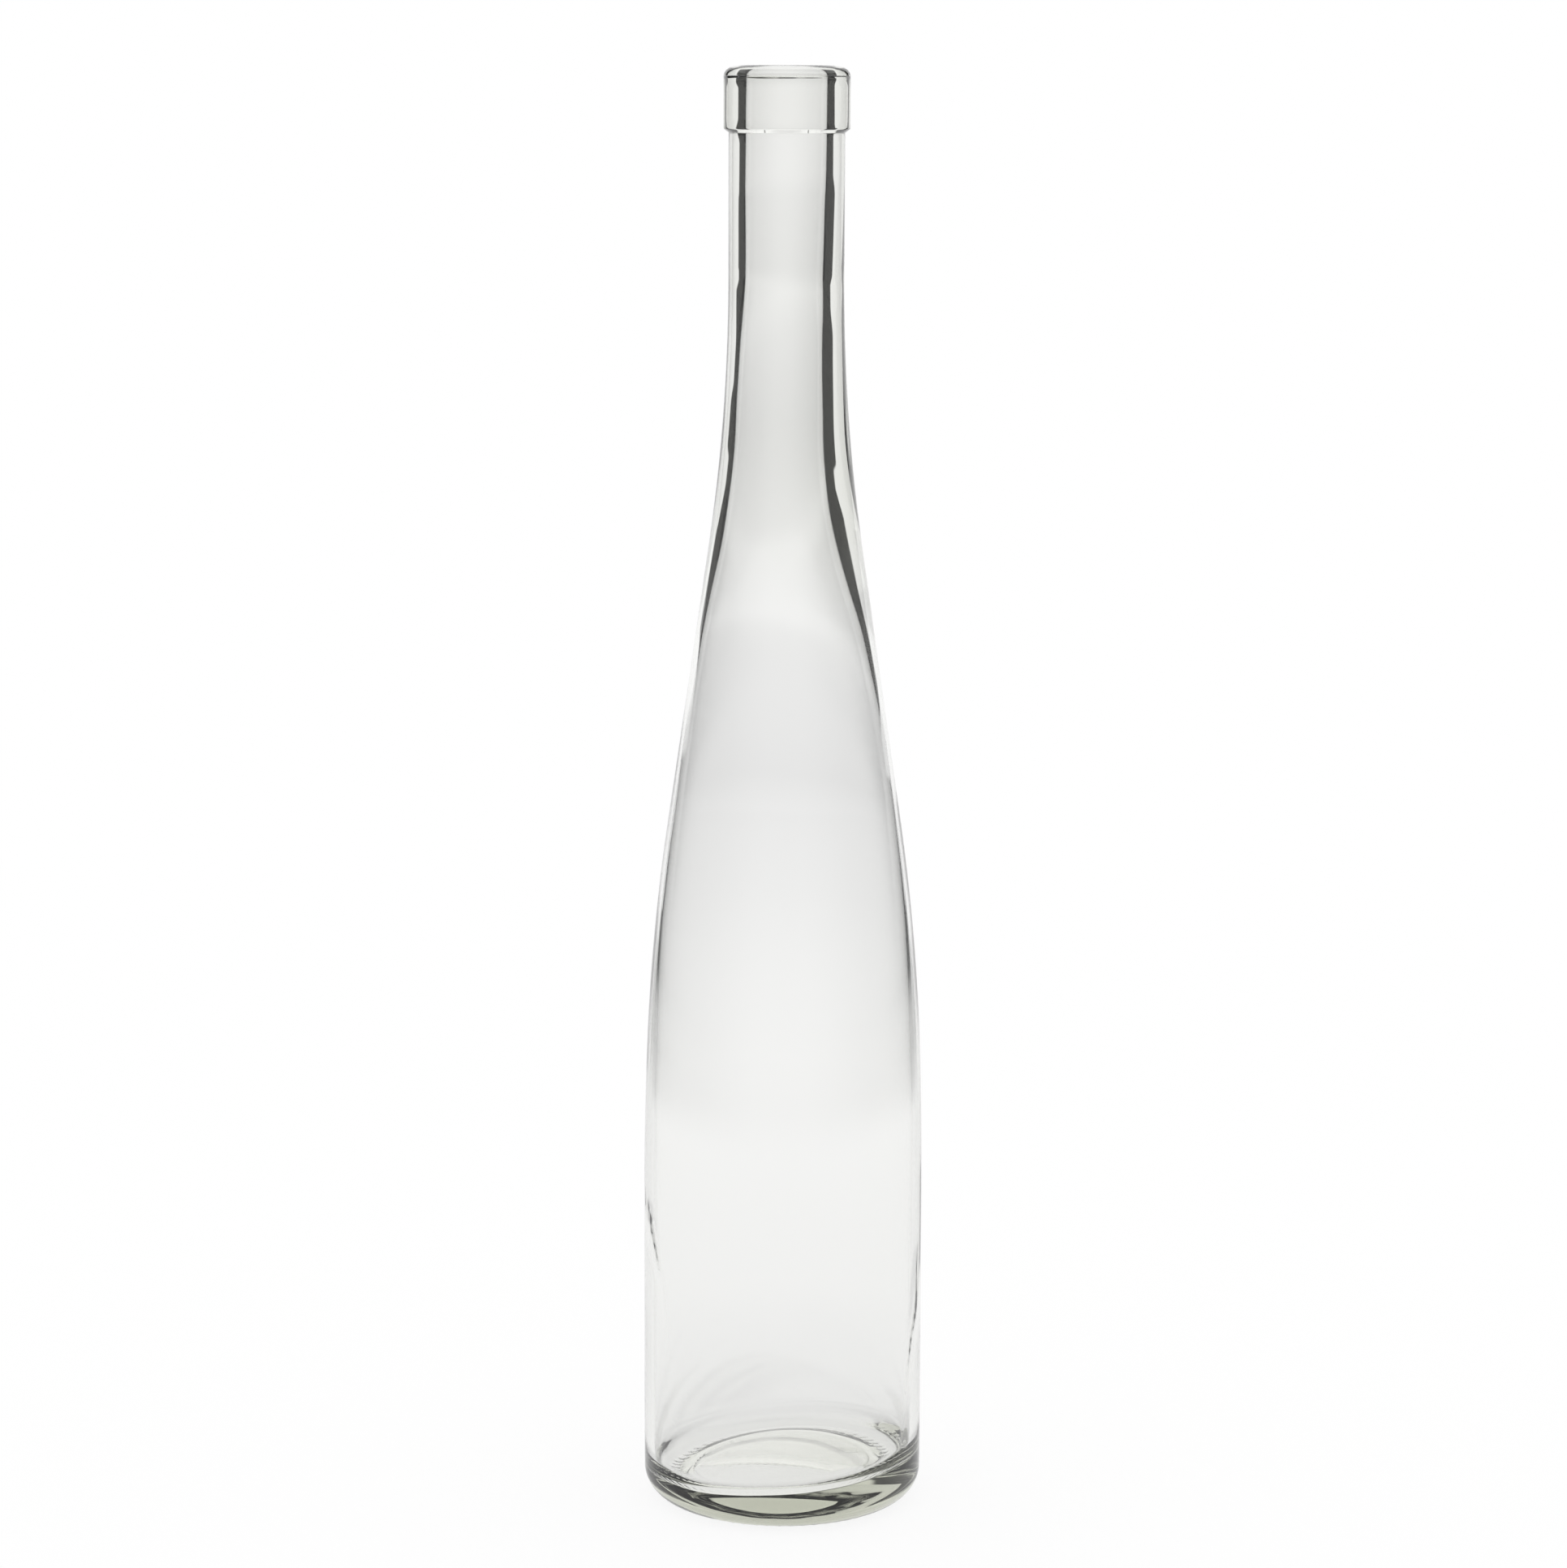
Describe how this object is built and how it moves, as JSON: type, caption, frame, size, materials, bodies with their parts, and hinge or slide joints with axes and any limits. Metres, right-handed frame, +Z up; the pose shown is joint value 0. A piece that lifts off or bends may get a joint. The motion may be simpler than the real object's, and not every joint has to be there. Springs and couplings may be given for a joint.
{
  "type": "flute bottle",
  "caption": "Tall slim clear glass flute bottle with a straight label panel, long sloping shoulder, open cork mouth and shallow push-up base.",
  "frame": {"origin": "centre of the ring that the bottle stands on, on the bottle's axis", "axes": "+Z up along the bottle's axis, from the base to the mouth; X and Y are any pair across it, with -Y towards the viewer"},
  "size_m": [0.0653, 0.0652, 0.335],
  "materials": {
    "clear_glass": "fire-polished clear container glass, faintly green where it is thick, with soft waves from the mould"
  },
  "bodies": {
    "root": {"bottle": "clear_glass"}
  },
  "joints": []
}
